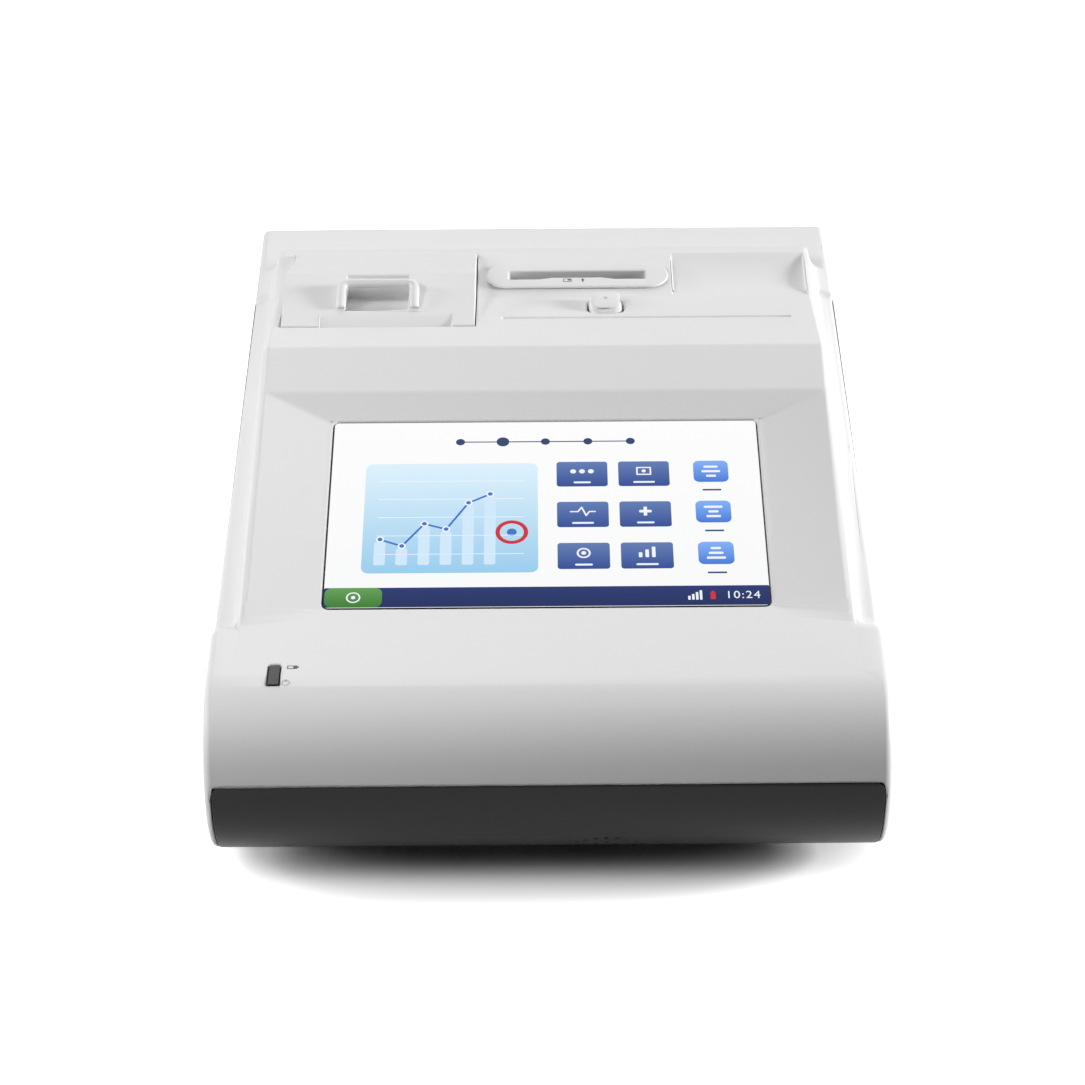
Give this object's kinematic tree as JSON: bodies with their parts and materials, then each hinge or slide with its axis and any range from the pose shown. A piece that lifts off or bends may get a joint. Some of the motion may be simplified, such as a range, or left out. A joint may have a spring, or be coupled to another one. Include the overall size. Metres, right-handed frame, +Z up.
{
  "type": "blood gas analyzer",
  "caption": "White bench-top blood gas analyzer with a slanted case, touch screen, test card slot, release button, printer door with a loop handle and a dark bumper under its round nose.",
  "frame": {"origin": "under the middle of the case, on the surface that it stands on", "axes": "+Z up, +X to the user's right, +Y from the nose to the rear"},
  "size_m": [0.2382, 0.3144, 0.1531],
  "materials": {
    "cover_white": "fine satin moulding",
    "bumper_dark": "satin",
    "screen_glass": "glossy touch panel",
    "smoke_window": "glossy, smoked",
    "rubber_black": "matt",
    "steel": "plain sheet",
    "board_green": "solder mask",
    "inner_plastic": "plain",
    "brass": "machined",
    "battery_wrap": "shrink wrap",
    "scanner_red": "clear dark red window"
  },
  "bodies": {
    "case": {"top_cover": "cover_white", "base_skirt": "cover_white", "bottom_case": "cover_white", "battery_cover": "cover_white", "slot_bezel": "cover_white", "scanner_bezel": "cover_white", "front_bumper": "bumper_dark", "touch_glass": "screen_glass", "status_window": "smoke_window", "speaker": "inner_plastic", "card_guide": "inner_plastic", "contact_block": "inner_plastic", "printer_tub": "inner_plastic", "scanner_engine": "inner_plastic", "rear_panel": "inner_plastic", "scanner_window": "scanner_red", "battery_pack": "battery_wrap", "main_board": "board_green", "switch_board": "board_green", "display_module": "steel", "clamp_bar_lower": "steel", "clamp_bar_upper": "steel", "heater_block": "steel", "button_spring": "steel", "feed_motor": "steel", "print_head": "steel", "tear_bar": "steel", "usb_port_1": "steel", "usb_port_2": "steel", "network_port": "steel", "serial_port": "steel", "rocker_frame": "rubber_black", "dc_inlet": "rubber_black", "foot_1": "rubber_black", "case_screw_1": "steel", "foot_2": "rubber_black", "case_screw_2": "steel", "foot_3": "rubber_black", "case_screw_3": "steel", "foot_4": "rubber_black", "case_screw_4": "steel"},
    "door": {"printer_door": "cover_white", "door_handle": "cover_white"},
    "roller": {"platen_roller": "rubber_black"},
    "pinion": {"motor_pinion": "brass"},
    "button": {"release_button": "cover_white"},
    "rocker": {"power_rocker": "rubber_black"}
  },
  "joints": [
    {"name": "door_hinge", "type": "hinge", "parent": "case", "child": "door", "pos_m": [-0.0657, 0.1005, 0.14604], "axis": [-1, 0, 0], "range_deg": [0, 75]},
    {"name": "roller_spin", "type": "hinge", "parent": "door", "child": "roller", "pos_m": [-0.0658, 0.0547, 0.13464], "axis": [1, 0, 0], "continuous": true},
    {"name": "pinion_spin", "type": "hinge", "parent": "case", "child": "pinion", "pos_m": [-0.033, 0.04909, 0.12747], "axis": [1, 0, 0], "continuous": true},
    {"name": "release_push", "type": "slide", "parent": "case", "child": "button", "axis": [0, 0, -1], "range_m": [0, 0.003], "stiffness_N_per_m": 400, "springref_m": -0.001, "deforming": ["button_spring"]},
    {"name": "power_rocker_tilt", "type": "hinge", "parent": "case", "child": "rocker", "pos_m": [0.036, 0.14277, 0.0496], "axis": [1, 0, 0], "range_deg": [0, 9]}
  ],
  "couplings": [
    {"joint": "pinion_spin", "follows": "roller_spin", "ratio": -1.3636}
  ]
}
